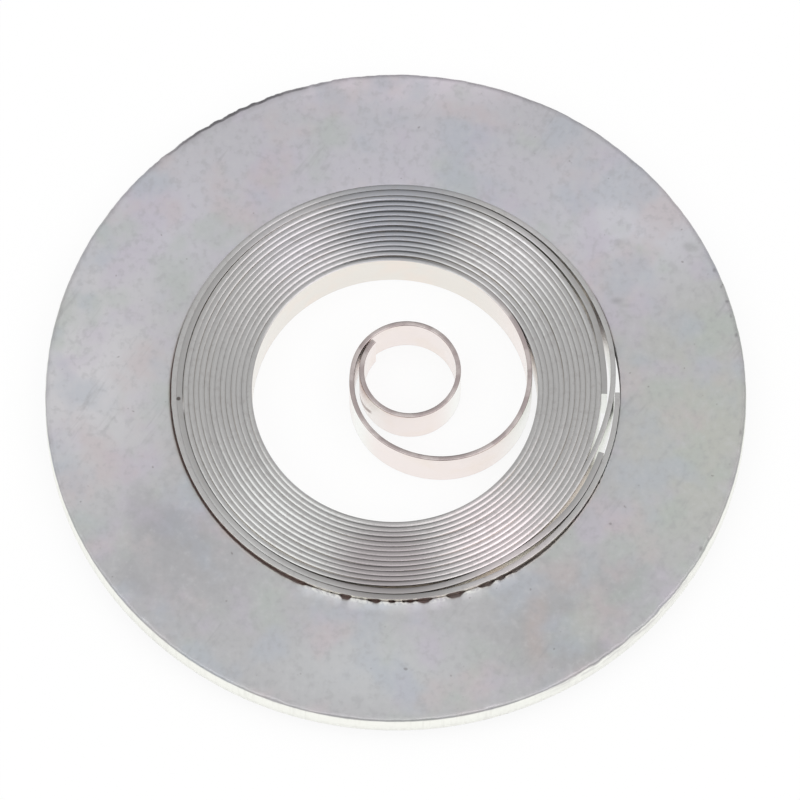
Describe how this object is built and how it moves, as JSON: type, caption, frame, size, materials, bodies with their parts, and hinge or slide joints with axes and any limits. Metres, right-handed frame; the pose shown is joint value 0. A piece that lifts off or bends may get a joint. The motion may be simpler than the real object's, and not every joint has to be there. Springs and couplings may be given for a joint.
{
  "type": "watch mainspring in a retaining washer",
  "caption": "Flat spiral watch mainspring of steel strip with a round inner eye and a slip bridle, held coiled in a punched steel washer.",
  "frame": {"origin": "on the axis of the washer and its hole, in the plane of the strip's lower edges, on which the part lies", "axes": "+Z along the coil's axis and up through the washer's rounded side, +Y away from the picture's viewer"},
  "size_m": [0.0164, 0.0162, 0.0012],
  "materials": {
    "washer_steel": "satin zinc-plated steel with faint tints",
    "spring_steel": "bright rolled strip with rounded edges",
    "bridle_steel": "bright rolled strip with rounded edges"
  },
  "bodies": {
    "root": {"retaining_washer": "washer_steel", "mainspring": "spring_steel", "slip_bridle": "bridle_steel"}
  },
  "joints": []
}
